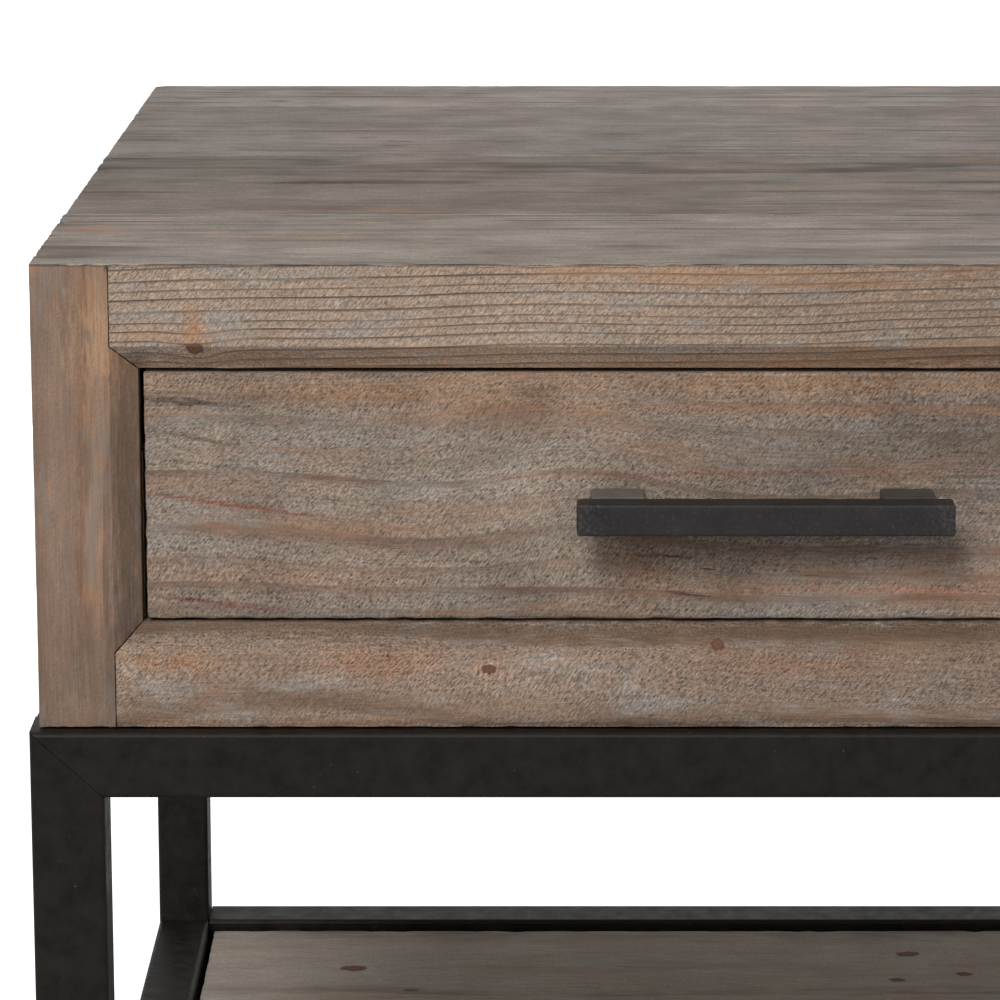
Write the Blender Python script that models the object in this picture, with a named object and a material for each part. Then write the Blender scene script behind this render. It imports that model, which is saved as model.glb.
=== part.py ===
"""Side table with one drawer: a wooden case on a welded steel frame with a lower shelf.

Metres, +Z up. The front faces -Y, the floor is Z = 0, and the origin is the centre of the footprint.
"""

import bpy
import bmesh
from math import cos, pi, sin
from mathutils import Matrix, Vector

for old in list(bpy.data.objects):
    bpy.data.objects.remove(old, do_unlink=True)

# Driving dimensions
WIDTH = 0.610
FRAME_DEPTH = 0.650
HEIGHT = 0.610
CASE_HEIGHT = 0.196
GAP = 0.0003  # between pieces that touch

# Steel frame
TUBE = 0.0285
FRONT_LEG_WIDTH = 0.031
TUBE_WALL = 0.0015
TUBE_RADIUS = 0.002
CORNER_STEPS = 3
SHELF_RAIL_TOP = 0.131
GLIDE_HEIGHT = 0.003
GLIDE_PLUG = 0.014
GLIDE_CLEARANCE = 0.0004
GLIDE_INSET = 0.0005  # of the flange, behind the face of the leg
PLATE_LEG = 0.042
PLATE_THICKNESS = 0.003
PLATE_HOLE_INSET = 0.014
CLEAT_WIDTH = 0.025
CLEAT_THICKNESS = 0.003

# Shelf planks
SHELF_PLANKS = 3
SHELF_DROP = 0.005  # below the top of the steel
SHELF_GAP = 0.003  # to the steel all round
SHELF_THICKNESS = 0.020
SHELF_EDGE = 0.0008

# Wooden case
CASE_INSET_FRONT = 0.007
CASE_INSET_SIDE = 0.0035
BOARD = 0.022
STILE_WIDTH = 0.0435
CHAMFER = 0.011
OPENING_TOP = 0.0455  # below the table top
OPENING_BOTTOM = 0.153
PLANK_JOINTS = (0.145, 0.343, 0.547)  # behind the case front
BACK_THICKNESS = 0.012
BACK_INSET = 0.006
BOTTOM_THICKNESS = 0.018
SPACER_HEIGHT = 0.095
SPACER_END_GAP = 0.020

# Drawer
FRONT_THICKNESS = 0.020
FRONT_SIDE_GAP = 0.0016
FRONT_TOP_GAP = 0.0013
FRONT_BOTTOM_GAP = 0.0008
BOX_WALL = 0.012
BOX_TOP = 0.063  # below the table top
BOX_BOTTOM = 0.148
BOX_LENGTH = 0.530
BOX_FLOOR = 0.006
GROOVE_HEIGHT = 0.008  # above the lower edge of the box
GROOVE_DEPTH = 0.005

# Slides
SLIDE_LENGTH = 0.500
SLIDE_SPACE = 0.0127
SLIDE_CENTRE = 0.115  # below the table top
SLIDE_SHEET = 0.0012
SLIDE_START = 0.002  # behind the drawer front
OUTER_HEIGHT = 0.045
OUTER_FLANGE = 0.0098
MIDDLE_HEIGHT = 0.040
MIDDLE_OFFSET = 0.0032
MIDDLE_FLANGE = 0.0076
INNER_HEIGHT = 0.028
INNER_FLANGE = 0.0064

# Handle
BAR_LENGTH = 0.155
BAR_SIZE = 0.0137
BAR_TOP = 0.0956  # below the table top
HANDLE_PROUD = 0.016  # in front of the steel frame
POST_SPACING = 0.120
POST_WIDTH = 0.0225
HANDLE_ROUND = 0.0015

# Screws
SHANK_RADIUS = 0.002
HOLE_RADIUS = 0.0024
DRILL_OVERSHOOT = 0.001  # past the face where a hole starts
HEAD_RADIUS = 0.004
HEAD_HEIGHT = 0.0025
HEAD_CROWN = 0.75  # flat top of the head, as a share of its radius
HEAD_RIM = 0.6  # height of the head at its rim, as a share of its height
SCREW_SIDES = 20
HANDLE_HOLE_DEPTH = 0.014
HANDLE_SCREW_REACH = 0.012
CASE_HOLE_DEPTH = 0.013
CASE_SCREW_REACH = 0.012

# Planes worked out from the dimensions above
FRONT = -(FRAME_DEPTH + HANDLE_PROUD) / 2 + HANDLE_PROUD  # front of the steel
REAR = FRONT + FRAME_DEPTH
CASE_FRONT = FRONT + CASE_INSET_FRONT
CASE_BOTTOM = HEIGHT - CASE_HEIGHT
RAIL_TOP = CASE_BOTTOM - GAP
CASE_HALF = WIDTH / 2 - CASE_INSET_SIDE
OPENING_HALF = CASE_HALF - STILE_WIDTH
SIDE_INNER = CASE_HALF - BOARD
CASE_BACK = REAR
DRAWER_FACE = CASE_FRONT + CHAMFER
DRAWER_BACK_FACE = DRAWER_FACE + FRONT_THICKNESS
BACK_PANEL_FRONT = CASE_BACK - BACK_INSET - BACK_THICKNESS
BOX_HALF = OPENING_HALF - SLIDE_SPACE - 2 * GAP
SHELF_TOP = SHELF_RAIL_TOP - SHELF_DROP


def material(name, colour, roughness, metallic=0.0):
    made = bpy.data.materials.new(name)
    made.use_nodes = True
    shader = made.node_tree.nodes["Principled BSDF"]
    shader.inputs["Base Color"].default_value = (*colour, 1.0)
    shader.inputs["Roughness"].default_value = roughness
    shader.inputs["Metallic"].default_value = metallic
    return made


BLACK_STEEL = material("black_steel", (0.022, 0.020, 0.018), 0.45, 0.6)
TOP_WOOD = material("top_wood", (0.19, 0.16, 0.135), 0.8)
FRAME_WOOD = material("frame_wood", (0.26, 0.18, 0.125), 0.8)
DRAWER_WOOD = material("drawer_wood", (0.20, 0.15, 0.11), 0.8)
SHELF_WOOD = material("shelf_wood", (0.13, 0.105, 0.085), 0.8)
INNER_WOOD = material("inner_wood", (0.48, 0.36, 0.23), 0.7)
HANDLE_IRON = material("handle_iron", (0.045, 0.042, 0.042), 0.5, 0.7)
ZINC_STEEL = material("zinc_steel", (0.55, 0.56, 0.57), 0.35, 1.0)
BLACK_PLASTIC = material("black_plastic", (0.02, 0.02, 0.02), 0.5)


def finish(name, work, surface, parent=None):
    """Turn a bmesh into a named object in world coordinates."""
    bmesh.ops.remove_doubles(work, verts=work.verts, dist=1e-6)
    bmesh.ops.recalc_face_normals(work, faces=work.faces)
    mesh = bpy.data.meshes.new(name)
    work.to_mesh(mesh)
    work.free()
    mesh.materials.append(surface)
    made = bpy.data.objects.new(name, mesh)
    bpy.context.scene.collection.objects.link(made)
    if parent:
        made.parent = parent
        made.matrix_parent_inverse = parent.matrix_world.inverted()
    return made


def rounded(made, width, segments=1):
    """Ease the sharp edges of a piece."""
    bevel = made.modifiers.new("eased_edges", "BEVEL")
    bevel.width = width
    bevel.segments = segments
    bevel.limit_method = "ANGLE"
    return made


def box(name, low, high, surface, parent=None, ease=0.0):
    """A block between two opposite corners."""
    work = bmesh.new()
    size = Vector(high) - Vector(low)
    centre = (Vector(high) + Vector(low)) / 2
    place = Matrix.Translation(centre) @ Matrix.Diagonal((*size, 1.0))
    bmesh.ops.create_cube(work, size=1.0, matrix=place)
    made = finish(name, work, surface, parent)
    return rounded(made, ease) if ease else made


def prism(name, outline, place, start, end, surface, parent=None, ease=0.0):
    """Extrude an outline of (a, b) points; place(a, b, t) gives the world point at length t."""
    work = bmesh.new()
    near = [work.verts.new(place(a, b, start)) for a, b in outline]
    far = [work.verts.new(place(a, b, end)) for a, b in outline]
    count = len(outline)
    work.faces.new(near)
    work.faces.new(reversed(far))
    for i in range(count):
        j = (i + 1) % count
        work.faces.new((near[j], near[i], far[i], far[j]))
    made = finish(name, work, surface, parent)
    return rounded(made, ease) if ease else made


def rounded_rectangle(width, height, radius):
    """Points round a rectangle with quarter-circle corners."""
    points = []
    centres = ((1, 1), (-1, 1), (-1, -1), (1, -1))
    for corner, (side_a, side_b) in enumerate(centres):
        for step in range(CORNER_STEPS + 1):
            angle = pi / 2 * (corner + step / CORNER_STEPS)
            a = side_a * (width / 2 - radius) + radius * cos(angle)
            b = side_b * (height / 2 - radius) + radius * sin(angle)
            points.append((a, b))
    return points


def tube(name, place, length, width, height, mitre_start=0.0, mitre_end=0.0):
    """A hollow rectangular tube; place(a, b, t) maps its section and length to the world.

    A mitre is how much longer the tube gets per unit of b at that end.
    """
    outer = rounded_rectangle(width, height, TUBE_RADIUS)
    inner_radius = TUBE_RADIUS - TUBE_WALL
    inner = rounded_rectangle(width - 2 * TUBE_WALL, height - 2 * TUBE_WALL, inner_radius)
    work = bmesh.new()
    rings = []
    for section in (outer, inner):
        for start in (True, False):
            ring = []
            for a, b in section:
                t = -mitre_start * b if start else length + mitre_end * b
                ring.append(work.verts.new(place(a, b, t)))
            rings.append(ring)
    outer_start, outer_end, inner_start, inner_end = rings
    count = len(outer)
    for i in range(count):
        j = (i + 1) % count
        work.faces.new((outer_start[i], outer_start[j], outer_end[j], outer_end[i]))
        work.faces.new((inner_start[j], inner_start[i], inner_end[i], inner_end[j]))
        work.faces.new((outer_start[j], outer_start[i], inner_start[i], inner_start[j]))
        work.faces.new((outer_end[i], outer_end[j], inner_end[j], inner_end[i]))
    return finish(name, work, BLACK_STEEL)


def drill(made, centre, direction, depth, radius=HOLE_RADIUS):
    """Bore a round hole that starts at centre and runs along direction."""
    turn = Vector((0, 0, 1)).rotation_difference(Vector(direction)).to_matrix().to_4x4()
    middle = Vector(centre) + Vector(direction) * (depth - DRILL_OVERSHOOT) / 2
    work = bmesh.new()
    bmesh.ops.create_cone(
        work, cap_ends=True, segments=SCREW_SIDES, radius1=radius, radius2=radius,
        depth=depth + DRILL_OVERSHOOT, matrix=Matrix.Translation(middle) @ turn)
    cutter = finish("cutter", work, ZINC_STEEL)
    boolean = made.modifiers.new("hole", "BOOLEAN")
    boolean.operation = "DIFFERENCE"
    boolean.object = cutter
    bpy.context.view_layer.update()
    evaluated = made.evaluated_get(bpy.context.evaluated_depsgraph_get())
    drilled = bpy.data.meshes.new_from_object(evaluated)
    made.modifiers.clear()
    made.data = drilled
    bpy.data.objects.remove(cutter, do_unlink=True)


def screw(name, seat, direction, reach, parent=None):
    """A pan-head screw whose head sits against seat and whose shank runs along direction."""
    profile = [
        (0.0, -HEAD_HEIGHT), (HEAD_RADIUS * HEAD_CROWN, -HEAD_HEIGHT), (HEAD_RADIUS, -HEAD_HEIGHT * HEAD_RIM),
        (HEAD_RADIUS, 0.0), (SHANK_RADIUS, 0.0), (SHANK_RADIUS, reach - SHANK_RADIUS), (0.0, reach)]
    turn = Vector((0, 0, 1)).rotation_difference(Vector(direction)).to_matrix().to_4x4()
    work = bmesh.new()
    points = [work.verts.new((radius, 0.0, height)) for radius, height in profile]
    edges = [work.edges.new(pair) for pair in zip(points, points[1:])]
    bmesh.ops.spin(
        work, geom=points + edges, cent=(0, 0, 0), axis=(0, 0, 1), dvec=(0, 0, 0),
        angle=2 * pi, steps=SCREW_SIDES, use_merge=True)
    bmesh.ops.transform(work, matrix=Matrix.Translation(Vector(seat)) @ turn, verts=work.verts)
    made = finish(name, work, ZINC_STEEL, parent)
    made.data.shade_smooth()
    made.data.set_sharp_from_angle(angle=pi / 6)
    return made


# Steel frame -------------------------------------------------------------------------------------

def end_loop(label, outer_face, inward, leg_width):
    """Two legs and the top rail between them, mitred at the top corners."""
    middle = outer_face + inward * TUBE / 2
    foot = GLIDE_HEIGHT + GAP
    slope = TUBE / leg_width  # the mitre runs from the outer to the inner corner
    for side, sign in (("left", -1), ("right", 1)):
        centre = sign * (WIDTH - leg_width) / 2
        length = RAIL_TOP - TUBE / 2 - GAP / 2 - foot

        def leg_point(a, b, t, centre=centre, sign=sign):
            return (centre + sign * b, middle + a, foot + t)

        tube(f"leg_{label}_{side}", leg_point, length, TUBE, leg_width, mitre_end=slope)

    rail_length = WIDTH - leg_width - GAP

    def rail_point(a, b, t):
        return (t - rail_length / 2, middle + a, RAIL_TOP - TUBE / 2 + b)

    tube(f"top_rail_{label}", rail_point, rail_length, TUBE, TUBE, 1 / slope, 1 / slope)

    shelf_rail_length = WIDTH - 2 * leg_width - 2 * GAP

    def shelf_rail_point(a, b, t):
        return (t - shelf_rail_length / 2, middle + a, SHELF_RAIL_TOP - TUBE / 2 + b)

    tube(f"shelf_rail_{label}", shelf_rail_point, shelf_rail_length, TUBE, TUBE)


def side_rails():
    """The rails that run from the front loop to the rear loop."""
    start = FRONT + TUBE + GAP
    length = FRAME_DEPTH - 2 * TUBE - 2 * GAP
    for side, sign in (("left", -1), ("right", 1)):
        for level, top in (("top", RAIL_TOP), ("shelf", SHELF_RAIL_TOP)):
            centre = sign * (WIDTH - TUBE) / 2

            def rail_point(a, b, t, centre=centre, top=top):
                return (centre + a, start + t, top - TUBE / 2 + b)

            tube(f"{level}_rail_{side}", rail_point, length, TUBE, TUBE)


def corners():
    """The four inner corners of the frame: label, X and Y, and the signs of the outward directions."""
    for end, sign_y, inner_y in (("front", -1, FRONT + TUBE), ("rear", 1, REAR - TUBE)):
        for side, sign_x in (("left", -1), ("right", 1)):
            yield f"{end}_{side}", sign_x * (WIDTH / 2 - TUBE), inner_y, sign_x, sign_y


def corner_plates_and_screws(bottom_panel):
    """Three-cornered plates in the top ring, each with a screw up into the case."""
    for label, x, y, sign_x, sign_y in corners():
        near_x = x - sign_x * GAP
        near_y = y - sign_y * GAP
        outline = [
            (near_x, near_y), (near_x - sign_x * PLATE_LEG, near_y), (near_x, near_y - sign_y * PLATE_LEG)]
        low = RAIL_TOP - PLATE_THICKNESS
        plate = prism(
            f"corner_plate_{label}", outline, lambda a, b, t: (a, b, t), low, RAIL_TOP, BLACK_STEEL)
        hole_x = near_x - sign_x * PLATE_HOLE_INSET
        hole_y = near_y - sign_y * PLATE_HOLE_INSET
        drill(plate, (hole_x, hole_y, low), (0, 0, 1), PLATE_THICKNESS + DRILL_OVERSHOOT)
        drill(bottom_panel, (hole_x, hole_y, CASE_BOTTOM), (0, 0, 1), CASE_HOLE_DEPTH)
        seat = (hole_x, hole_y, low - GAP)
        screw(f"case_screw_{label}", seat, (0, 0, 1), PLATE_THICKNESS + CASE_SCREW_REACH)


def foot_glides():
    """Plastic glides plugged into the open ends of the legs."""
    for end, y, leg_width in (
            ("front", FRONT + TUBE / 2, FRONT_LEG_WIDTH), ("rear", REAR - TUBE / 2, TUBE)):
        for side, sign in (("left", -1), ("right", 1)):
            work = bmesh.new()
            centre = (sign * (WIDTH - leg_width) / 2, y, GLIDE_HEIGHT / 2)
            flange = Matrix.Diagonal((leg_width - 2 * GLIDE_INSET, TUBE - 2 * GLIDE_INSET, GLIDE_HEIGHT, 1.0))
            bmesh.ops.create_cube(work, size=1.0, matrix=Matrix.Translation(centre) @ flange)
            top = max(work.faces, key=lambda face: face.calc_center_median().z)
            shoulder = TUBE_WALL + GLIDE_CLEARANCE - GLIDE_INSET
            bmesh.ops.inset_region(work, faces=[top], thickness=shoulder, use_even_offset=True)
            risen = bmesh.ops.extrude_discrete_faces(work, faces=[top])["faces"]
            bmesh.ops.translate(work, vec=(0, 0, GLIDE_PLUG), verts=risen[0].verts)
            finish(f"foot_glide_{end}_{side}", work, BLACK_PLASTIC)


# Shelf -------------------------------------------------------------------------------------------

def shelf():
    """Planks laid side by side on two flat bars."""
    inner_half = WIDTH / 2 - TUBE
    start = FRONT + TUBE + SHELF_GAP
    run = FRAME_DEPTH - 2 * TUBE - 2 * SHELF_GAP
    pitch = (run + GAP) / SHELF_PLANKS
    bottom = SHELF_TOP - SHELF_THICKNESS
    half = inner_half - SHELF_GAP
    for number in range(SHELF_PLANKS):
        low = (-half, start + number * pitch, bottom)
        high = (half, start + (number + 1) * pitch - GAP, SHELF_TOP)
        box(f"shelf_plank_{number + 1}", low, high, SHELF_WOOD, ease=SHELF_EDGE)
    for side, sign in (("left", -1), ("right", 1)):
        edges = sorted((sign * (inner_half - GAP), sign * (inner_half - CLEAT_WIDTH)))
        cleat_top = bottom - GAP
        low = (edges[0], FRONT + TUBE + GAP, cleat_top - CLEAT_THICKNESS)
        high = (edges[1], REAR - TUBE - GAP, cleat_top)
        box(f"shelf_cleat_{side}", low, high, BLACK_STEEL)


# Wooden case -------------------------------------------------------------------------------------

def chamfered_board(name, outline, folded):
    """A front board of the case, cut back along the drawer opening.

    outline holds (x, z) points. folded gives, for each point on the opening, the point that its
    front edge runs back to. Points at the table top slope back to mitre with the front plank.
    """
    work = bmesh.new()
    made_points = {}

    def point(x, z, back):
        drop = back + GAP * 2 ** 0.5 if z == HEIGHT else 0.0
        key = (round(x, 6), round(z, 6), round(back, 6))
        if key not in made_points:
            made_points[key] = work.verts.new((x, CASE_FRONT + back, z - drop))
        return made_points[key]

    front = [point(*folded.get(i, corner), 0.0) for i, corner in enumerate(outline)]
    middle = [point(*corner, CHAMFER) for corner in outline]
    back = [point(*corner, BOARD) for corner in outline]

    def face(corners):
        unique = list(dict.fromkeys(corners))
        if len(unique) > 2:
            work.faces.new(unique)

    face(front)
    face(reversed(back))
    count = len(outline)
    for near, far in ((front, middle), (middle, back)):
        for i in range(count):
            j = (i + 1) % count
            face((near[j], near[i], far[i], far[j]))
    return finish(name, work, FRAME_WOOD)


def front_frame():
    """Two stiles and two rails round the drawer opening."""
    flat_half = OPENING_HALF + CHAMFER
    opening_top = HEIGHT - OPENING_TOP
    opening_bottom = HEIGHT - OPENING_BOTTOM
    for side, sign in (("left", -1), ("right", 1)):
        seam = sign * flat_half
        edge = sign * OPENING_HALF
        outline = [
            (sign * CASE_HALF, HEIGHT), (sign * CASE_HALF, CASE_BOTTOM),
            (seam, CASE_BOTTOM), (seam, opening_bottom - CHAMFER), (edge, opening_bottom),
            (edge, opening_top), (seam, opening_top + CHAMFER), (seam, HEIGHT)]
        chamfered_board(f"stile_{side}", outline, {4: outline[3], 5: outline[6]})
    seam = flat_half - GAP
    edge = OPENING_HALF - GAP
    top = [
        (-seam, HEIGHT), (-seam, opening_top + CHAMFER), (-edge, opening_top),
        (edge, opening_top), (seam, opening_top + CHAMFER), (seam, HEIGHT)]
    chamfered_board("case_rail_top", top, {2: top[1], 3: top[4]})
    bottom = [
        (-seam, CASE_BOTTOM), (-seam, opening_bottom - CHAMFER), (-edge, opening_bottom),
        (edge, opening_bottom), (seam, opening_bottom - CHAMFER), (seam, CASE_BOTTOM)]
    chamfered_board("case_rail_bottom", bottom, {2: bottom[1], 3: bottom[4]})


def top_planks():
    """Planks across the table top; the front one is mitred to the front frame."""
    joints = (0.0, *PLANK_JOINTS, CASE_BACK - CASE_FRONT + GAP)
    for number, (near, far) in enumerate(zip(joints, joints[1:]), start=1):
        mitre = BOARD if number == 1 else 0.0
        low = CASE_FRONT + near
        high = CASE_FRONT + far - GAP
        outline = [(low, HEIGHT), (low + mitre, HEIGHT - BOARD), (high, HEIGHT - BOARD), (high, HEIGHT)]
        prism(
            f"top_plank_{number}", outline, lambda a, b, t: (t, a, b), -CASE_HALF, CASE_HALF, TOP_WOOD)


def case_panels():
    """The sides, back and bottom of the case, and the battens that carry the slides."""
    under_top = HEIGHT - BOARD - GAP
    behind_frame = CASE_FRONT + BOARD + GAP
    for side, sign in (("left", -1), ("right", 1)):
        faces = sorted((sign * CASE_HALF, sign * SIDE_INNER))
        box(
            f"side_panel_{side}", (faces[0], behind_frame, CASE_BOTTOM), (faces[1], CASE_BACK, under_top),
            FRAME_WOOD)
        faces = sorted((sign * (SIDE_INNER - GAP), sign * OPENING_HALF))
        low = CASE_BOTTOM + BOTTOM_THICKNESS + GAP
        box(
            f"slide_spacer_{side}", (faces[0], behind_frame, low),
            (faces[1], BACK_PANEL_FRONT - SPACER_END_GAP, low + SPACER_HEIGHT), INNER_WOOD)
    half = SIDE_INNER - GAP
    box(
        "back_panel", (-half, BACK_PANEL_FRONT, CASE_BOTTOM),
        (half, BACK_PANEL_FRONT + BACK_THICKNESS, under_top), INNER_WOOD)
    return box(
        "bottom_panel", (-half, behind_frame, CASE_BOTTOM),
        (half, BACK_PANEL_FRONT - GAP, CASE_BOTTOM + BOTTOM_THICKNESS), INNER_WOOD)


# Drawer ------------------------------------------------------------------------------------------

def drawer_box(parent):
    """Front board, sides, back, and a bottom held in grooves."""
    top = HEIGHT - BOX_TOP
    bottom = HEIGHT - BOX_BOTTOM
    inner_half = BOX_HALF - BOX_WALL
    start = DRAWER_BACK_FACE + GAP
    end = start + BOX_LENGTH
    front_half = OPENING_HALF - FRONT_SIDE_GAP
    front = box(
        "drawer_front", (-front_half, DRAWER_FACE, HEIGHT - OPENING_BOTTOM + FRONT_BOTTOM_GAP),
        (front_half, DRAWER_BACK_FACE, HEIGHT - OPENING_TOP - FRONT_TOP_GAP), DRAWER_WOOD, parent)
    groove_low = bottom + GROOVE_HEIGHT
    groove_high = groove_low + BOX_FLOOR + 2 * GAP
    groove_wall = inner_half + GROOVE_DEPTH
    for side, sign in (("left", -1), ("right", 1)):
        outline = [
            (sign * BOX_HALF, bottom), (sign * inner_half, bottom), (sign * inner_half, groove_low),
            (sign * groove_wall, groove_low), (sign * groove_wall, groove_high),
            (sign * inner_half, groove_high), (sign * inner_half, top), (sign * BOX_HALF, top)]
        prism(
            f"drawer_side_{side}", outline, lambda a, b, t: (a, t, b), start, end, INNER_WOOD, parent)
    box(
        "drawer_back", (-inner_half + GAP, end - BOX_WALL, groove_high),
        (inner_half - GAP, end, top), INNER_WOOD, parent)
    box(
        "drawer_bottom", (-groove_wall + GAP, start, groove_low + GAP),
        (groove_wall - GAP, end, groove_low + GAP + BOX_FLOOR), INNER_WOOD, parent)
    return front


def handle(parent, drawer_front):
    """A square bar on two flat posts, screwed on from inside the drawer."""
    top = HEIGHT - BAR_TOP
    bar_front = FRONT - HANDLE_PROUD
    bar_back = bar_front + BAR_SIZE
    rounded(
        box(
            "handle_bar", (-BAR_LENGTH / 2, bar_front, top - BAR_SIZE), (BAR_LENGTH / 2, bar_back, top),
            HANDLE_IRON, parent),
        HANDLE_ROUND, 2)
    for side, sign in (("left", -1), ("right", 1)):
        x = sign * POST_SPACING / 2
        post_back = DRAWER_FACE - GAP
        post = box(
            f"handle_post_{side}", (x - POST_WIDTH / 2, bar_back + GAP, top - BAR_SIZE),
            (x + POST_WIDTH / 2, post_back, top), HANDLE_IRON, parent)
        z = top - BAR_SIZE / 2
        drill(post, (x, post_back, z), (0, -1, 0), HANDLE_HOLE_DEPTH)
        drill(drawer_front, (x, DRAWER_BACK_FACE, z), (0, -1, 0), FRONT_THICKNESS + DRILL_OVERSHOOT)
        seat = (x, DRAWER_BACK_FACE + GAP, z)
        screw(f"handle_screw_{side}", seat, (0, -1, 0), FRONT_THICKNESS + HANDLE_SCREW_REACH, parent)


def channel(depth_low, depth_high, web_at_low, height):
    """The outline of a slide member: a web with a flange at each edge."""
    half = height / 2
    web = depth_low if web_at_low else depth_high
    open_side = depth_high if web_at_low else depth_low
    inner_web = web + SLIDE_SHEET * (1 if web_at_low else -1)
    return [
        (web, -half), (open_side, -half), (open_side, -half + SLIDE_SHEET),
        (inner_web, -half + SLIDE_SHEET), (inner_web, half - SLIDE_SHEET),
        (open_side, half - SLIDE_SHEET), (open_side, half), (web, half)]


def slides(drawer_parent, middle_parents):
    """A three-member ball-bearing slide at each side of the drawer."""
    start = DRAWER_BACK_FACE + SLIDE_START
    z = HEIGHT - SLIDE_CENTRE
    members = (
        ("outer", channel(0.0, OUTER_FLANGE, True, OUTER_HEIGHT)),
        ("middle", channel(MIDDLE_OFFSET, MIDDLE_OFFSET + MIDDLE_FLANGE, True, MIDDLE_HEIGHT)),
        ("inner", channel(SLIDE_SPACE - INNER_FLANGE, SLIDE_SPACE, False, INNER_HEIGHT)))
    for side, sign in (("left", -1), ("right", 1)):
        wall = OPENING_HALF - GAP
        parents = {"outer": None, "middle": middle_parents[side], "inner": drawer_parent}
        for member, outline in members:
            def point(a, b, t, sign=sign, wall=wall):
                return (sign * (wall - a), t, z + b)

            prism(
                f"slide_{member}_{side}", outline, point, start, start + SLIDE_LENGTH, ZINC_STEEL,
                parents[member])


def pivot(name, place):
    """An empty that carries a moving body."""
    made = bpy.data.objects.new(name, None)
    made.location = place
    bpy.context.scene.collection.objects.link(made)
    return made


drawer = pivot("drawer_body", (0.0, DRAWER_FACE, HEIGHT - SLIDE_CENTRE))
middles = {
    side: pivot(f"slide_body_{side}", (sign * OPENING_HALF, DRAWER_BACK_FACE, HEIGHT - SLIDE_CENTRE))
    for side, sign in (("left", -1), ("right", 1))}
bpy.context.view_layer.update()

end_loop("front", FRONT, 1, FRONT_LEG_WIDTH)
end_loop("rear", REAR, -1, TUBE)
side_rails()
foot_glides()
shelf()
front_frame()
top_planks()
case_bottom = case_panels()
corner_plates_and_screws(case_bottom)
handle(drawer, drawer_box(drawer))
slides(drawer, middles)
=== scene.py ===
"""A small square side table: a welded black steel frame, weathered pine boards and one drawer.

Everything is in metres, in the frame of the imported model. X is the width, the front faces -Y, Z is up.
"""

import math

import bmesh
import bpy
from mathutils import Euler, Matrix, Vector


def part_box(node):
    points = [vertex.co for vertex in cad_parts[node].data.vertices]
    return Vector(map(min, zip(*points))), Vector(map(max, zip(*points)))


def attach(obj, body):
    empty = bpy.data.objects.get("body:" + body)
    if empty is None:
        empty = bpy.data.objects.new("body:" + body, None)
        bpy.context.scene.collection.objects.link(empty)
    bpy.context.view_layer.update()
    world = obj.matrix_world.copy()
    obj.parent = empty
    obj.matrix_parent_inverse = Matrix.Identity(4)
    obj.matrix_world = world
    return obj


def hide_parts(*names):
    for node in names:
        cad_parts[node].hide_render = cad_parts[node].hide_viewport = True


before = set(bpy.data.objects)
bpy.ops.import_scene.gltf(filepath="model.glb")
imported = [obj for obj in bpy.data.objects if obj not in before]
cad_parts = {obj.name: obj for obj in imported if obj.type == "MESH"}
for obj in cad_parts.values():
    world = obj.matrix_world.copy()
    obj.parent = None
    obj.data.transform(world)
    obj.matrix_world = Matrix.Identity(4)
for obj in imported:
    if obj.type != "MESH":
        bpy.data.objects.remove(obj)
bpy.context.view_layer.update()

MM = 0.001
MATH = "ShaderNodeMath"
VECTOR = "ShaderNodeVectorMath"
NOISE = "ShaderNodeTexNoise"
RANGE = "ShaderNodeMapRange"
MIX = "ShaderNodeMix"

# How a board lies: the turn that brings its grain to the first axis and its show face to the first two.
GRAIN_X_FACE_UP = (0, 0, 0)
GRAIN_X_FACE_FRONT = (math.radians(-90), 0, 0)
GRAIN_Z_FACE_FRONT = (math.radians(90), 0, math.radians(90))
GRAIN_Y_FACE_SIDE = (math.radians(-90), math.radians(-90), 0)


# ---------------------------------------------------------------------------------------------
# Camera, light and floor

def place_camera():
    """A long lens from a little left of the middle, looking down by 12 degrees."""
    lens = bpy.data.cameras.new("camera")
    lens.lens = 149.9
    lens.sensor_width = 36
    camera = bpy.data.objects.new("camera", lens)
    camera.location = (-0.1087, -1.9915, 0.874)
    camera.rotation_euler = (math.radians(90 - 12.17), 0, 0)
    bpy.context.scene.collection.objects.link(camera)
    bpy.context.scene.camera = camera


def add(tree, kind, links=None, out=0, **settings):
    """Adds a node with its settings, fills or links its inputs, and gives back one of its outputs."""
    made = tree.nodes.new(kind)
    for key, value in settings.items():
        setattr(made, key, value)
    for key, value in (links or {}).items():
        if isinstance(value, bpy.types.NodeSocket):
            tree.links.new(value, made.inputs[key])
        else:
            made.inputs[key].default_value = value
    return made.outputs[out] if made.outputs else None


def bell(tree, far):
    """A weight that is 1 where a vector is zero and fades to nothing as it grows."""
    near = add(tree, VECTOR, {0: far, 1: far}, 1, operation="DOT_PRODUCT")
    near = add(tree, MATH, {0: near, 1: -1.0}, operation="MULTIPLY")
    return add(tree, MATH, {0: near}, operation="EXPONENT")


def mixed(tree, share, first, second):
    """Two colours, or a colour node and a colour, mixed by a share."""
    return add(tree, MIX, {0: share, 6: first, 7: second}, 2, data_type="RGBA")


def stretched_noise(tree, place, sizes, detail, roughness=0.5, out=0):
    """Noise at a place in mm, stretched to a size in mm along each axis."""
    place = add(tree, VECTOR, {0: place, 1: [1 / size for size in sizes]}, operation="MULTIPLY")
    return add(tree, NOISE, {"Vector": place, "Scale": 1.0, "Detail": detail, "Roughness": roughness}, out)


def linear(hex_colour):
    """An sRGB hex colour as the linear colour that a shader takes."""
    channels = [int(hex_colour[i:i + 2], 16) / 255 for i in (1, 3, 5)]
    return [c / 12.92 if c <= 0.04045 else ((c + 0.055) / 1.055) ** 2.4 for c in channels] + [1.0]


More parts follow.
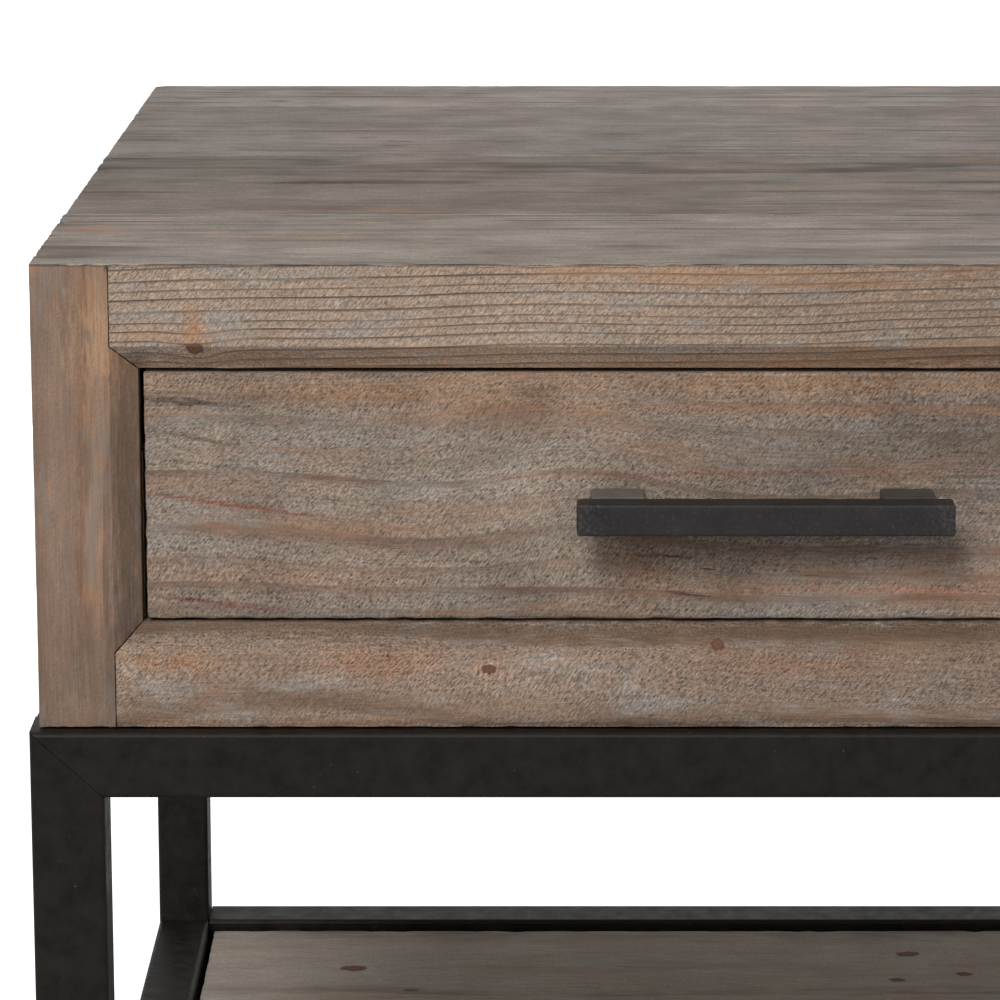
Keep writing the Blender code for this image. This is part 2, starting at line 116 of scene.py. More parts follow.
def object_mm(tree):
    """The place on the object in mm."""
    place = add(tree, "ShaderNodeTexCoord", out="Object")
    return add(tree, "ShaderNodeMapping", {"Vector": place, "Scale": (1000, 1000, 1000)})


def new_material(name):
    """An empty material with its node tree."""
    made = bpy.data.materials.new(name)
    made.use_nodes = True
    made.node_tree.nodes.clear()
    return made


def studio():
    """A white room: a pale floor to the horizon, an even sky and one soft key from the front left."""
    scene = bpy.context.scene
    scene.view_settings.view_transform = "Standard"
    world = bpy.data.worlds.new("white studio")
    scene.world = world
    world.use_nodes = True
    tree = world.node_tree
    tree.nodes.clear()
    seen = add(tree, "ShaderNodeLightPath", out="Is Camera Ray")
    strength = add(tree, RANGE, {"Value": seen, "To Min": 0.54, "To Max": 1.0})
    sky = add(tree, "ShaderNodeBackground", {"Color": (1, 1, 1, 1), "Strength": strength})
    add(tree, "ShaderNodeOutputWorld", {"Surface": sky})
    key = bpy.data.lights.new("soft key", "SUN")
    key.energy = 2.25
    key.angle = math.radians(16)
    key.color = (1, 0.985, 0.965)
    holder = bpy.data.objects.new("soft key", key)
    holder.rotation_euler = (math.radians(90 - 35), 0, math.radians(-15))
    scene.collection.objects.link(holder)

    bpy.ops.mesh.primitive_plane_add(size=60, location=(0, 0, 0))
    floor = bpy.context.active_object
    floor.name = "floor"
    paint = new_material("matt white floor paint")
    tree = paint.node_tree
    place = add(tree, "ShaderNodeTexCoord", out="Object")
    mottle = add(tree, NOISE, {"Vector": place, "Scale": 3.0, "Detail": 3.0})
    colour = mixed(tree, mottle, (0.6, 0.6, 0.6, 1), (0.64, 0.64, 0.64, 1))
    glow = add(tree, "ShaderNodeLightPath", out="Is Camera Ray")
    glow = add(tree, MATH, {0: glow, 1: 0.8}, operation="MULTIPLY")
    surface = add(tree, "ShaderNodeBsdfPrincipled", {
        "Base Color": colour, "Roughness": 0.9, "Emission Color": (1, 1, 1, 1), "Emission Strength": glow})
    add(tree, "ShaderNodeOutputMaterial", {"Surface": surface})
    floor.data.materials.append(paint)


# ---------------------------------------------------------------------------------------------
# Wood

def growth(tree, place, board):
    """The wood's own pattern at a place in mm: bent place, latewood 0 to 1, and knot radii from a knot."""
    drift = stretched_noise(tree, place, (board["bend"], 60, 60), 1.5, out=1)
    drift = add(tree, VECTOR, {0: drift, 1: (0.5, 0.5, 0.5)}, operation="SUBTRACT")
    sway = board["sway"]
    drift = add(tree, VECTOR, {0: drift, 1: (0, 2 * sway, 2 * sway)}, operation="MULTIPLY")
    bent = add(tree, VECTOR, {0: place, 1: drift}, operation="ADD")

    along = add(tree, VECTOR, {0: place, 1: (-board["climb"], 0, 0)}, 1, operation="DOT_PRODUCT")
    lift = add(tree, VECTOR, {0: (0, 1, 0), "Scale": along}, operation="SCALE")
    bent = add(tree, VECTOR, {0: bent, 1: lift}, operation="ADD")

    for across, up, reach_across, reach_up, rise in board["waves"]:
        far = add(tree, VECTOR, {0: place, 1: (across, up, 0)}, operation="SUBTRACT")
        far = add(tree, VECTOR, {0: far, 1: (1 / reach_across, 1 / reach_up, 0)}, operation="MULTIPLY")
        near = bell(tree, far)
        lift = add(tree, VECTOR, {0: (0, -rise, 0), "Scale": near}, operation="SCALE")
        bent = add(tree, VECTOR, {0: bent, 1: lift}, operation="ADD")

    knot = None
    for across, up, radius in board["knots"]:
        away = add(tree, VECTOR, {0: place, 1: (across, up, 0)}, operation="SUBTRACT")
        far = add(tree, VECTOR, {0: away, 1: (0.3 / radius, 0.5 / radius, 0)}, operation="MULTIPLY")
        near = bell(tree, far)
        pull = add(tree, VECTOR, {0: away, 1: (0, -0.9, 0)}, operation="MULTIPLY")
        pull = add(tree, VECTOR, {0: pull, "Scale": near}, operation="SCALE")
        bent = add(tree, VECTOR, {0: bent, 1: pull}, operation="ADD")
        size = add(tree, VECTOR, {0: away, 1: (0.7 / radius, 1 / radius, 0)}, operation="MULTIPLY")
        size = add(tree, VECTOR, {0: size}, 1, operation="LENGTH")
        lumpy = add(tree, NOISE, {"Vector": away, "Scale": 0.9 / radius, "Detail": 2.0})
        lumpy = add(tree, RANGE, {"Value": lumpy, "To Min": 0.45, "To Max": 1.55})
        size = add(tree, MATH, {0: size, 1: lumpy}, operation="MULTIPLY")
        knot = size if knot is None else add(tree, MATH, {0: knot, 1: size}, operation="MINIMUM")

    heart = add(tree, VECTOR, {0: bent, 1: (0, *board["pith"])}, operation="SUBTRACT")
    heart = add(tree, VECTOR, {0: heart, 1: (0, 1, 1)}, operation="MULTIPLY")
    radius = add(tree, VECTOR, {0: heart}, 1, operation="LENGTH")
    ring = board["ring"]
    year = add(tree, MATH, {0: radius, 1: 1 / (2.6 * ring)}, operation="MULTIPLY")
    uneven = add(tree, NOISE, {"W": year, "Scale": 1.0, "Detail": 0.0}, noise_dimensions="1D")
    radius = add(tree, MATH, {0: uneven, 1: board["uneven"] * ring, 2: radius}, operation="MULTIPLY_ADD")
    turns = add(tree, MATH, {0: radius, 1: 1 / ring}, operation="MULTIPLY")
    phase = add(tree, MATH, {0: turns}, operation="FRACT")
    start, peak = board["line"]
    grow = add(tree, RANGE, {
        "Value": phase, "From Min": start, "From Max": peak}, interpolation_type="SMOOTHSTEP")
    stop = add(tree, RANGE, {
        "Value": phase, "From Min": peak + 0.01, "From Max": 1.0, "To Min": 1.0, "To Max": 0.0},
        interpolation_type="SMOOTHSTEP")
    late = add(tree, MATH, {0: grow, 1: stop}, operation="MULTIPLY")
    number = add(tree, MATH, {0: turns}, operation="FLOOR")
    weight = add(tree, "ShaderNodeTexWhiteNoise", {"W": number}, noise_dimensions="1D")
    weight = add(tree, RANGE, {"Value": weight, "To Min": board["faint"], "To Max": 1.0})
    late = add(tree, MATH, {0: late, 1: weight}, operation="MULTIPLY")
    fade = stretched_noise(tree, place, (70, 22, 22), 2.0)
    fade = add(tree, RANGE, {"Value": fade, "From Min": 0.42, "From Max": 0.6, "To Min": 1 - board["broken"]})
    late = add(tree, MATH, {0: late, 1: fade}, operation="MULTIPLY")
    return bent, late, knot


def fibre(tree, bent):
    """The fine streaks along the grain, 0 to 1, about 0.7 mm wide and 25 mm long."""
    return stretched_noise(tree, bent, (25, 0.7, 0.7), 3.0, 0.65)


def weathered_pine(name, board):
    """Reclaimed softwood, wire brushed and oiled: dark rings stand proud of a furry, greying earlywood."""
    made = new_material(name)
    tree = made.node_tree
    object_place = add(tree, "ShaderNodeTexCoord", out="Object")
    place = add(tree, "ShaderNodeMapping", {
        "Vector": object_place, "Location": board["shift"], "Rotation": board["turn"],
        "Scale": (1000, 1000, 1000)})
    bent, late, knot = growth(tree, place, board)
    streak = fibre(tree, bent)

    colour = mixed(tree, late, linear(board["early"]), linear(board["late"]))

    # Warm bands where the oil went in, along the rings.
    length, width = board["warm_size"]
    warm = stretched_noise(tree, bent, (length, width, width), 3.0, 0.55)
    low, high = board["warm_from"]
    warm = add(tree, RANGE, {
        "Value": warm, "From Min": low, "From Max": high}, interpolation_type="SMOOTHSTEP")
    warm = add(tree, MATH, {0: warm, 1: board["warm_share"]}, operation="MULTIPLY")
    colour = mixed(tree, warm, colour, linear(board["warm"]))

    # Grey, sun bleached patches.
    length, width = board["grey_size"]
    grey = stretched_noise(tree, bent, (length, width, width), 4.0, 0.6)
    grey = add(tree, RANGE, {
        "Value": grey, "From Min": 0.48, "From Max": 0.66}, interpolation_type="SMOOTHSTEP")
    grey = add(tree, MATH, {0: grey, 1: board["grey_share"]}, operation="MULTIPLY")
    colour = mixed(tree, grey, colour, linear(board["grey"]))

    # Marks that this board has, each fading out along the grain: stains, pitch streaks, splits, broad darker
    # and paler patches, and painted shade (the handle bar's shadow on the drawer front, light falling off
    # down the left stile).
    for across, up, reach_across, reach_up, tilt, stain_and_shade_colour, share in board["marks"]:
        away = add(tree, VECTOR, {0: place, 1: (across, up, 0)}, operation="SUBTRACT")
        ragged = add(tree, VECTOR, {0: bent, 1: (1 / 9, 1 / 1.5, 0)}, operation="MULTIPLY")
        ragged = add(tree, NOISE, {"Vector": ragged, "Scale": 1.0, "Detail": 3.0})
        ragged = add(tree, RANGE, {
            "Value": ragged, "From Min": 0.3, "From Max": 0.7, "To Min": -0.9, "To Max": 0.9})
        run = add(tree, VECTOR, {0: away, 1: (1 / reach_across, 0, 0)}, 1, operation="DOT_PRODUCT")
        slope = (-tilt / reach_up, 1 / reach_up, 0)
        rise = add(tree, VECTOR, {0: away, 1: slope}, 1, operation="DOT_PRODUCT")
        rise = add(tree, MATH, {0: rise, 1: ragged}, operation="ADD")
        far = add(tree, "ShaderNodeCombineXYZ", {0: run, 1: rise})
        near = bell(tree, far)
        near = add(tree, MATH, {0: near, 1: share}, operation="MULTIPLY")
        colour = mixed(tree, near, colour, linear(stain_and_shade_colour))

    # Short torn fibres that the brush left, slanting across the grain.
    slanted = add(tree, "ShaderNodeVectorRotate", {
        "Vector": bent, "Axis": (0, 0, 1), "Angle": math.radians(-47)})
    fuzz = stretched_noise(tree, slanted, (2.2, 0.62, 0.62), 2.0, 0.6)
    grit = add(tree, NOISE, {"Vector": bent, "Scale": 1 / 0.95, "Detail": 1.0})
    fuzz = add(tree, MIX, {0: 0.3, 2: fuzz, 3: grit})
    soft = add(tree, MATH, {0: 1.0, 1: late}, operation="SUBTRACT")
    soft = add(tree, MATH, {0: soft, 1: warm}, operation="SUBTRACT")
    soft = add(tree, RANGE, {"Value": soft, "To Min": 0.25, "To Max": 1.0})

    light = add(tree, RANGE, {"Value": streak, "From Min": 0.25, "From Max": 0.75,
                              "To Min": 1 - board["streaks"], "To Max": 1 + board["streaks"]})
    tuft = add(tree, RANGE, {"Value": fuzz, "From Min": 0.28, "From Max": 0.72, "To Min": -board["fuzz"],
                             "To Max": board["fuzz"]})
    light = add(tree, MATH, {0: tuft, 1: soft, 2: light}, operation="MULTIPLY_ADD")
    colour = add(tree, VECTOR, {0: colour, "Scale": light}, operation="SCALE")

    # Broad clouds of dirt and wear.
    cloud = add(tree, NOISE, {"Vector": place, "Scale": 1 / 38, "Detail": 3.0})
    cloud = add(tree, RANGE, {"Value": cloud, "From Min": 0.3, "From Max": 0.7,
                              "To Min": 1 - board["dirt"], "To Max": 1 + board["dirt"]})
    colour = add(tree, VECTOR, {0: colour, "Scale": cloud}, operation="SCALE")

    # Drying cracks: long and thin, and only here and there.
    split = stretched_noise(tree, bent, (45, 1.1, 1.1), 1.0)
    rare = board["cracks"]
    split = add(tree, RANGE, {"Value": split, "From Min": rare, "From Max": rare + 0.05})
    colour = mixed(tree, split, colour, linear("#382c25"))

    if knot is not None:
        swirl = add(tree, MATH, {0: knot, 1: 2.6}, operation="MULTIPLY")
        swirl = add(tree, MATH, {0: swirl}, operation="FRACT")
        heart = mixed(tree, swirl, linear("#7b5644"), linear("#4c352a"))
        inside = add(tree, RANGE, {"Value": knot, "From Min": 1.05, "From Max": 0.9})
        colour = mixed(tree, inside, colour, heart)
        bark = add(tree, MATH, {0: knot, 1: 1.0}, operation="SUBTRACT")
        bark = add(tree, MATH, {0: bark}, operation="ABSOLUTE")
        bark = add(tree, RANGE, {"Value": bark, "From Min": 0.22, "From Max": 0.0, "To Max": 0.7})
        colour = mixed(tree, bark, colour, linear("#2c201b"))

    rough = add(tree, RANGE, {"Value": late, "To Min": 0.88, "To Max": 0.66})
    height = add(tree, MATH, {0: fuzz, 1: soft}, operation="MULTIPLY")
    height = add(tree, MATH, {0: streak, 1: 0.8, 2: height}, operation="MULTIPLY_ADD")
    height = add(tree, MATH, {0: late, 1: 0.35, 2: height}, operation="MULTIPLY_ADD")
    height = add(tree, MATH, {0: split, 1: -1.0, 2: height}, operation="MULTIPLY_ADD")
    normal = add(tree, "ShaderNodeBump", {"Height": height, "Strength": 0.5, "Distance": 0.6 * MM})
    surface = add(tree, "ShaderNodeBsdfPrincipled", {
        "Base Color": colour, "Roughness": rough, "Normal": normal, "IOR": 1.5, "Specular IOR Level": 0.3})
    add(tree, "ShaderNodeOutputMaterial", {"Surface": surface})
    return made


NICK_REACH = 2.5 * MM  # of a nick, in from the arris


def wear_down(piece, board, low, high, depth, nick, hidden):
    """Brushes a board: the earlywood goes down between the rings and the arrises get nicks.

    The hidden side stays flat, and nothing moves past the board's own box.
    """
    tree = bpy.data.node_groups.new(piece.name + " wear", "GeometryNodeTree")
    tree.interface.new_socket("Geometry", in_out="INPUT", socket_type="NodeSocketGeometry")
    tree.interface.new_socket("Geometry", in_out="OUTPUT", socket_type="NodeSocketGeometry")
    mesh = add(tree, "NodeGroupInput")
    position = add(tree, "GeometryNodeInputPosition")
    place = add(tree, VECTOR, {0: position, "Scale": 1000.0}, operation="SCALE")
    place = add(tree, "ShaderNodeVectorRotate", {"Vector": place, "Rotation": board["turn"]},
                rotation_type="EULER_XYZ")
    place = add(tree, VECTOR, {0: place, 1: board["shift"]}, operation="ADD")
    bent, late, knot = growth(tree, place, board)
    streak = fibre(tree, bent)
    down = add(tree, RANGE, {"Value": late, "To Min": depth, "To Max": 0.0})
    down = add(tree, MATH, {0: streak, 1: 0.5 * depth, 2: down}, operation="MULTIPLY_ADD")
    middle = (low + high) / 2
    gap = add(tree, VECTOR, {0: position, 1: middle}, operation="SUBTRACT")
    gap = add(tree, VECTOR, {0: gap}, operation="ABSOLUTE")
    gap = add(tree, VECTOR, {0: (high - low) / 2, 1: gap}, operation="SUBTRACT")
    x, y, z = [add(tree, "ShaderNodeSeparateXYZ", {0: gap}, axis) for axis in range(3)]
    pairs = [add(tree, MATH, {0: a, 1: b}, operation="MAXIMUM") for a, b in ((x, y), (y, z), (x, z))]
    nearest = add(tree, MATH, {0: pairs[0], 1: pairs[1]}, operation="MINIMUM")
    nearest = add(tree, MATH, {0: nearest, 1: pairs[2]}, operation="MINIMUM")
    arris = add(tree, RANGE, {
        "Value": nearest, "From Min": 0.0, "From Max": NICK_REACH, "To Min": 1.0, "To Max": 0.0})
    chips = add(tree, NOISE, {"Vector": place, "Scale": 1 / 9, "Detail": 3.0, "Roughness": 0.6})
    chips = add(tree, RANGE, {"Value": chips, "From Min": 0.5, "From Max": 0.78, "To Max": nick})
    down = add(tree, MATH, {0: chips, 1: arris, 2: down}, operation="MULTIPLY_ADD")
    normal = add(tree, "GeometryNodeInputNormal")
    shown = add(tree, VECTOR, {0: normal, 1: hidden}, 1, operation="DOT_PRODUCT")
    inward = add(tree, RANGE, {
        "Value": shown, "From Min": 0.8, "From Max": 0.9, "To Min": -1.0, "To Max": 0.0})
    down = add(tree, MATH, {0: down, 1: inward}, operation="MULTIPLY")
    offset = add(tree, VECTOR, {0: normal, "Scale": down}, operation="SCALE")
    moved = add(tree, VECTOR, {0: position, 1: offset}, operation="ADD")
    spreads = [[v.co[axis] for v in piece.data.vertices] for axis in range(3)]
    moved = add(tree, VECTOR, {0: moved, 1: [min(spread) for spread in spreads]}, operation="MAXIMUM")
    moved = add(tree, VECTOR, {0: moved, 1: [max(spread) for spread in spreads]}, operation="MINIMUM")
    mesh = add(tree, "GeometryNodeSetPosition", {"Geometry": mesh, "Position": moved})
    add(tree, "NodeGroupOutput", {0: mesh})
    modifier = piece.modifiers.new("wear", "NODES")
    modifier.node_group = tree
    bpy.ops.object.modifier_apply(modifier="wear")
    bpy.data.node_groups.remove(tree)


# ---------------------------------------------------------------------------------------------
# Modelling

def clear_choice():
    """Nothing is selected, so an operator touches only what comes next."""
    bpy.ops.object.select_all(action="DESELECT")


def choose(piece, kind, test):
    """In edit mode, selects only the vertices, edges or faces that pass a test."""
    modes = {"verts": "VERT", "edges": "EDGE", "faces": "FACE"}
    bpy.ops.mesh.select_mode(type=modes[kind])
    bpy.ops.mesh.select_all(action="DESELECT")
    mesh = bmesh.from_edit_mesh(piece.data)
    for part in getattr(mesh, kind):
        if test(part):
            part.select_set(True)
    mesh.select_flush_mode()
    bmesh.update_edit_mesh(piece.data)


def face_outward(piece):
    """In edit mode, turns every face of a closed piece outward."""
    bpy.ops.mesh.select_all(action="SELECT")
    bpy.ops.mesh.normals_make_consistent(inside=False)
    if bmesh.from_edit_mesh(piece.data).calc_volume(signed=True) < 0:
        bpy.ops.mesh.flip_normals()


def cuboid(name, low, high):
    """A cube primitive at its size and place, open in edit mode."""
    clear_choice()
    low, high = Vector(low), Vector(high)
    bpy.ops.mesh.primitive_cube_add(size=1, location=(low + high) / 2, scale=high - low)
    piece = bpy.context.active_object
    piece.name = name
    piece.data.name = name
    bpy.ops.object.transform_apply(location=True, rotation=True, scale=True)
    bpy.ops.object.mode_set(mode="EDIT")
    return piece


def copied_node(name, node):
    """A copy of a CAD node with its doubles merged, open in edit mode."""
    clear_choice()
    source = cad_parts[node]
    piece = source.copy()
    piece.data = source.data.copy()
    piece.name = name
    piece.data.name = name
    piece.parent = None
    for key in [k for k in piece.keys() if k.startswith("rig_")]:
        del piece[key]
    bpy.context.scene.collection.objects.link(piece)
    piece.hide_render = False
    piece.hide_viewport = False
    piece.data.materials.clear()
    piece.select_set(True)
    bpy.context.view_layer.objects.active = piece
    bpy.ops.object.mode_set(mode="EDIT")
    bpy.ops.mesh.select_all(action="SELECT")
    bpy.ops.mesh.remove_doubles(threshold=0.01 * MM)
    bpy.ops.mesh.dissolve_limited(angle_limit=math.radians(1))
    face_outward(piece)
    return piece


def slice_up(piece, axis, count):
    """Cuts the long edges along one axis into equal lengths, all round the board."""
    mesh = bmesh.from_edit_mesh(piece.data)
    spread = [v.co[axis] for v in mesh.verts]
    least = 0.8 * (max(spread) - min(spread))
    choose(piece, "edges", lambda e: abs(e.verts[0].co[axis] - e.verts[1].co[axis]) > least)
    bpy.ops.mesh.subdivide(number_cuts=count)


def thin_out(piece, facing):
    """Makes the hidden side of a board one plain face again."""
    bpy.ops.object.mode_set(mode="EDIT")
    choose(piece, "faces", lambda f: f.normal.dot(Vector(facing)) > 0.999)
    bpy.ops.mesh.delete(type="FACE")
    bpy.ops.mesh.select_mode(type="EDGE")
    bpy.ops.mesh.select_all(action="DESELECT")
    bpy.ops.mesh.select_non_manifold()
    bpy.ops.mesh.edge_face_add()
    face_outward(piece)
    bpy.ops.object.mode_set(mode="OBJECT")


def finish(piece, body, slot, material, *nodes):
    """Smooths a piece, gives it its material and puts it on its body in place of its CAD nodes."""
    if bpy.context.mode != "OBJECT":
        bpy.ops.object.mode_set(mode="OBJECT")
    clear_choice()
    piece.select_set(True)
    bpy.context.view_layer.objects.active = piece
    bpy.ops.object.shade_smooth_by_angle(angle=math.radians(40))
    piece.data.materials.clear()
    piece.data.materials.append(material)
    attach(piece, body)
    if nodes:
        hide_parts(*nodes)


def settle(board, low, high):
    """Centres a board's pattern on the board."""
    middle = (Vector(low) + Vector(high)) / 2 * 1000
    middle.rotate(Euler(board["turn"], "XYZ"))
    board["shift"] = tuple(-middle)
    return board


COMMON = {
    # How the rings run: where the pith lies beside the board, ring width, and how far the rings stray.
    "turn": GRAIN_X_FACE_UP, "pith": (0, -90), "ring": 6.0, "uneven": 1.6, "sway": 5.0, "bend": 170,
    "climb": 0.0, "waves": (), "knots": (),
    # The dark line in each ring: where it starts and peaks, the palest one, and how much of it breaks up.
    "line": (0.45, 0.9), "faint": 0.4, "broken": 0.4,
    # Colours, with the share, threshold and size of the warm bands and the grey patches.
    "early": "#8f8379", "late": "#5f5248", "warm": "#8a6a50", "grey": "#8d8984",
    "warm_from": (0.5, 0.68), "warm_share": 0.5, "warm_size": (140, 12),
    "grey_share": 0.5, "grey_size": (55, 15),
    # Contrast of the fibre streaks, the torn fibres and the dirt, and how rare the drying cracks are.
    "streaks": 0.14, "fuzz": 0.3, "dirt": 0.08, "cracks": 0.8, "marks": (),
}

TOP = dict(
    COMMON, late="#4d443d", warm="#7d6450", grey="#86827d", warm_share=0.45, ring=8.0, line=(0.2, 0.85),
    faint=0.1, streaks=0.42, fuzz=0.34, broken=1.0, dirt=0.18, grey_size=(90, 16), cracks=0.77,
    warm_size=(90, 10))
FRONT = dict(COMMON, turn=GRAIN_X_FACE_FRONT)
STILE = dict(
    COMMON, turn=GRAIN_Z_FACE_FRONT, ring=9.0, early="#806a5b", late="#634d3f", warm="#9c7557",
    warm_share=0.7, grey="#7a7067", grey_share=0.75, fuzz=0.2, streaks=0.2, faint=0.2, line=(0.3, 0.9),
    dirt=0.14, warm_size=(45, 13), grey_size=(38, 11), broken=0.6)
SHELF = dict(
    COMMON, early="#90877e", late="#6b5e54", warm="#8b7462", grey="#938f88", streaks=0.26, fuzz=0.3,
    ring=10.0, line=(0.3, 0.9), broken=0.9)
SIDE = dict(
    COMMON, turn=GRAIN_Y_FACE_SIDE, ring=8.0, sway=9.0, uneven=2.2, faint=0.15, broken=0.8, early="#8c7b6e",
    fuzz=0.5, late="#64503f", warm="#95735a", dirt=0.14)

# What each board shows, in mm from its middle, across and up its face.
# A wave bends the rings: across, up, its reach both ways, its rise.
# A knot: across, up, radius.
# A mark is a stain, a split, a broad patch or painted shade: across, up, its reach both ways, tilt, colour,
# share.
BOARDS = {
    "top_plank_1": dict(
        TOP, pith=(-40, -70), early="#91877e", climb=0.01,
        waves=((-180, -20, 60, 40, 6),),
        marks=(
            (-285, 25, 14, 4, 0.0, "#a8714a", 0.85), (-215, 10, 60, 2.2, -0.02, "#94694d", 0.6),
            (-120, -35, 90, 8, 0.0, "#9a8f85", 0.5), (120, 30, 90, 10, 0.0, "#857a70", 0.5))),
    "top_plank_2": dict(
        TOP, pith=(60, -110), early="#7b7168",
        marks=(
            (-190, 0, 42, 3.0, -0.02, "#433932", 0.95), (-190, -82, 35, 5, 0.0, "#7c5d49", 0.7),
            (-130, 40, 120, 3.5, -0.01, "#4e453f", 0.7), (60, 45, 120, 5, 0.0, "#4f4640", 0.6),
            (-270, 20, 40, 40, 0.0, "#6d675f", 0.5), (120, -30, 90, 9, 0.0, "#594f47", 0.5))),
    "top_plank_3": dict(
        TOP, pith=(-120, -60), early="#857c76",
        marks=(
            (-175, -32, 6, 2, 0.0, "#4f443c", 0.8), (-158, -49, 6, 2.2, 0.0, "#4f443c", 0.8),
            (-162, -65, 6, 2, 0.0, "#4f443c", 0.8), (-105, -50, 7, 2, 0.0, "#54483f", 0.7),
            (-200, 20, 90, 10, 0.0, "#6b625b", 0.5), (100, -95, 160, 5, 0.0, "#5b514a", 0.6))),
    "top_plank_4": dict(
        TOP, pith=(80, -90), early="#8f8680",
        marks=(
            (-275, -15, 9, 3, 0.0, "#544639", 0.8), (-228, -27, 7, 3, 0.0, "#5a4c42", 0.7),
            (-200, 10, 12, 5, 0.0, "#6a5c50", 0.6))),
    "case_rail_top": dict(
        FRONT, pith=(-260, 40), ring=4.15, sway=2.0, bend=110, climb=0.013, line=(0.7, 0.93),
        faint=0.75, uneven=0.7, broken=0.2, early="#978474", late="#38271c", warm="#9f7654",
        warm_share=0.45, fuzz=0.74, grey_size=(30, 8),
        waves=((-234, -10, 11, 7, -3.5), (-95, 5, 60, 30, 1.5), (130, 0, 70, 30, 2.0)),
        knots=((-234, -12.5, 2.4),),
        marks=(
            (-234, -3, 4, 6, 0.0, "#a87346", 0.6), (-259, -19, 6, 4, 0.5, "#332c26", 0.8),
            (70, 0, 80, 30, 0.0, "#4b423b", 0.4), (0, -20.5, 330, 4, 0.0, "#b08c6e", 0.45),
            (-200, -18, 60, 4, 0.0, "#6f513c", 0.5), (60, -17.5, 120, 3.5, 0.03, "#7d5638", 0.5))),
    "case_rail_bottom": dict(
        FRONT, pith=(10, -70), ring=9.0, sway=6.0, early="#877567", late="#5c4535", warm="#85664f",
        warm_share=0.5, fuzz=0.88, streaks=0.24, dirt=0.12, grey_size=(34, 9),
        waves=((-60, 6, 60, 20, 8), (120, 0, 80, 20, -7)),
        knots=((-113, 3.6, 1.9), (-18, 13.5, 1.8)),
        marks=(
            (-113, 3.6, 6, 4, 0.0, "#a58570", 0.7), (80, 0, 90, 24, 0.0, "#4b423b", 0.42),
            # (0, 19) on the next line darkens the upward chamfer along the top of this rail, beside the
            # drawer.
            (0, 19, 320, 3.5, 0.0, "#41352b", 0.6), (-247, 5.6, 20, 4.5, 0.0, "#936a4a", 0.75),
            (-159, 6, 36, 5.5, 0.02, "#8e6953", 0.75), (11, 5.5, 44, 4.5, 0.0, "#896955", 0.7),
            (150, 5, 50, 4, 0.0, "#8c6448", 0.6), (-60, 17, 240, 4, 0.0, "#64503f", 0.55),
            (-40, -20, 200, 1.6, 0.0, "#3c322b", 0.5))),
    "stile_left": dict(
        STILE, pith=(90, 30),
        marks=(
            # The pale mark at the top (70, 10) and the dark ones low down (-80, 4) and (-70, 17) are painted
            # shade: the stile gets darker towards the bottom as the light falls off.
            (70, 10, 24, 12, 0.0, "#b08a69", 0.7), (-80, 4, 30, 20, 0.0, "#665545", 0.5),
            (0, -2, 90, 1.8, 0.02, "#6b4d3a", 0.6), (-70, 17, 60, 7, 0.0, "#4a4038", 0.55),
            (20, 18, 90, 5, 0.0, "#5c4a3c", 0.5))),
    "stile_right": dict(STILE, pith=(-80, 40)),
    "drawer_front": dict(
        FRONT, pith=(-190, 90), ring=11.0, sway=7.0, climb=-0.01, line=(0.4, 0.9), faint=0.15,
        early="#84766a", late="#654c3d", warm="#8a674f", warm_share=0.48, grey="#86827c", fuzz=0.9,
        streaks=0.26, dirt=0.2,
        waves=((-75, 0, 45, 40, 11), (-230, -10, 60, 40, 8)),
        marks=(
            (80, 22, 100, 36, 0.0, "#47403a", 0.5), (-200, -46, 80, 18, 0.0, "#4b433d", 0.3),
            (40, -44, 170, 18, 0.0, "#4b433d", 0.3), (220, -20, 60, 40, 0.0, "#564c44", 0.3),
            (20, 47, 230, 4.5, 0.0, "#8d6a4c", 0.6), (40, 36.5, 190, 2.4, -0.01, "#8b664b", 0.5),
            (-150, 43, 90, 3.5, -0.03, "#8f6b4c", 0.5), (-239, 40, 22, 1.6, -0.06, "#3f3731", 0.8),
            (-222, -3.4, 40, 0.9, -0.14, "#764438", 0.8),
            (-233, -44.6, 24, 1.0, -0.12, "#6c3f35", 0.8), (-232, 24, 18, 0.9, -0.22, "#51453b", 0.7),
            (-225, 13, 26, 0.8, -0.12, "#5a4c41", 0.6), (-20, 9.6, 130, 0.8, 0.01, "#7c4c3e", 0.55),
            (-38, -25.5, 9, 0.7, -0.04, "#2a1d18", 0.9), (-30, -42, 9, 0.7, -0.12, "#2a1d18", 0.9),
            # The second mark on the next line, (8, -18), is painted shadow: the handle bar's cast shadow, a
            # dark band just below the bar.
            (-49, -33, 12, 11, 0.0, "#976a4e", 0.4), (8, -18, 72, 6.5, 0.0, "#382f29", 0.55),
            (-105, 6, 26, 5, 0.12, "#9b8f84", 0.4), (-200, -34, 60, 5, -0.04, "#8c6a57", 0.45),
            (60, -40, 60, 2, 0.0, "#8d5a42", 0.5), (-10, -53, 260, 1.2, 0.0, "#2e2620", 0.6))),
    "side_panel_left": dict(SIDE, pith=(-150, 60)),
    "side_panel_right": dict(SIDE, pith=(170, -60)),
    "back_panel": dict(
        FRONT, pith=(-100, 80), ring=8.0, sway=9.0, uneven=2.2, faint=0.15, broken=0.8, dirt=0.14,
        early="#8c7c6f", fuzz=0.5),
    "shelf_plank_1": dict(
        SHELF, pith=(-60, -80),
        knots=((-170, -60, 7), (-145, -75, 4))),
    "shelf_plank_2": dict(
        SHELF, pith=(90, -80),
        knots=((-170, 40, 8), (60, -30, 4))),
    "shelf_plank_3": dict(
        SHELF, pith=(40, -110),
        knots=((-191, 30, 4.5), (-158, -8, 2.5), (122, 55, 4), (112, 10, 3), (150, 20, 3))),
}

